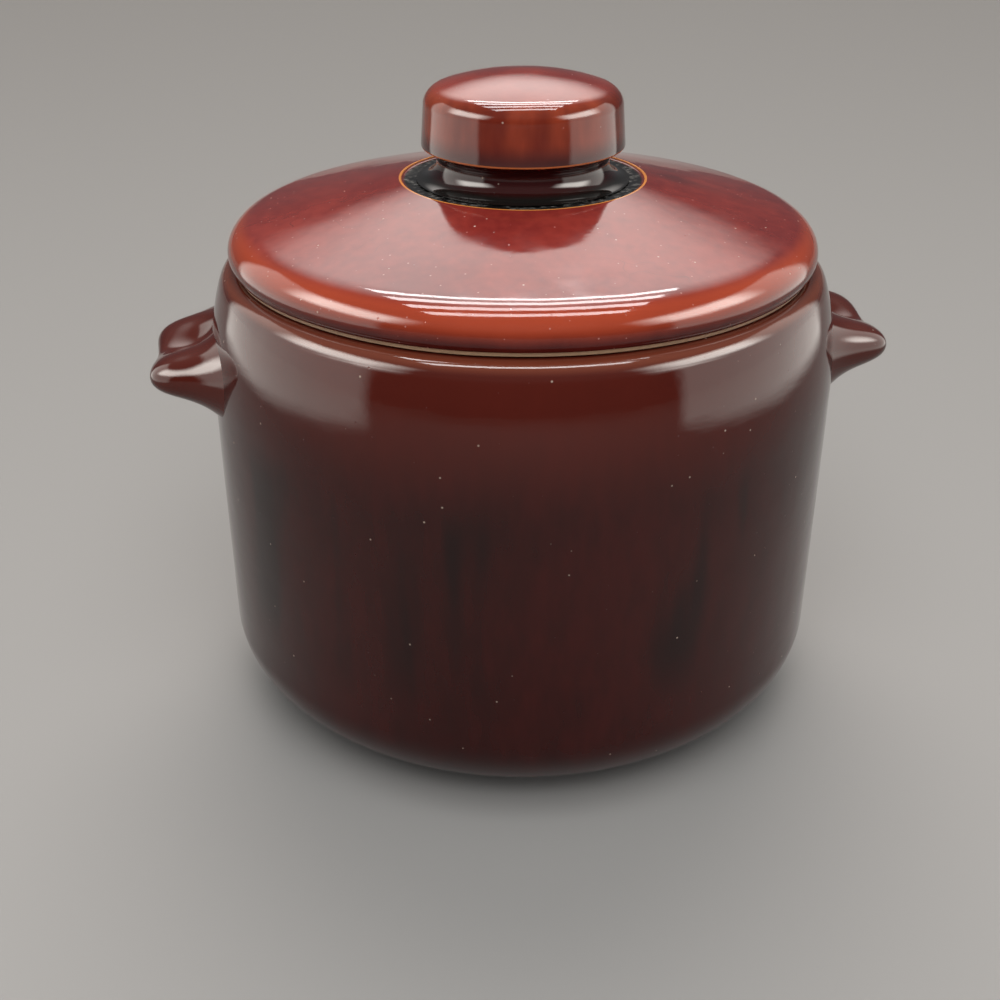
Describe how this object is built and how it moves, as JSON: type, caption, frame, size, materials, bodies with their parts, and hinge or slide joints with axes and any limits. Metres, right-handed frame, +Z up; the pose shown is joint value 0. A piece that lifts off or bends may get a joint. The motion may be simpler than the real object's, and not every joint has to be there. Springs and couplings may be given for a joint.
{
  "type": "bean pot",
  "caption": "Round stoneware bean pot with two ear lugs and a loose lift-off lid with a drum knob, glazed glossy brown.",
  "frame": {"origin": "centre of the foot ring, on the surface that the pot stands on", "axes": "+Z up along the pot's axis, +X towards the right lug, -Y towards the viewer"},
  "size_m": [0.2032, 0.172, 0.1778],
  "materials": {
    "pot_glaze": "gloss",
    "lid_glaze": "gloss"
  },
  "bodies": {
    "pot": {"pot_body": "pot_glaze", "left_lug": "pot_glaze", "right_lug": "pot_glaze"},
    "lid": {"lid_disc": "lid_glaze", "lid_knob": "lid_glaze"}
  },
  "joints": [
    {"name": "lid_lift", "type": "slide", "parent": "pot", "child": "lid", "axis": [0, 0, 1], "range_m": [0, 0.16]}
  ]
}
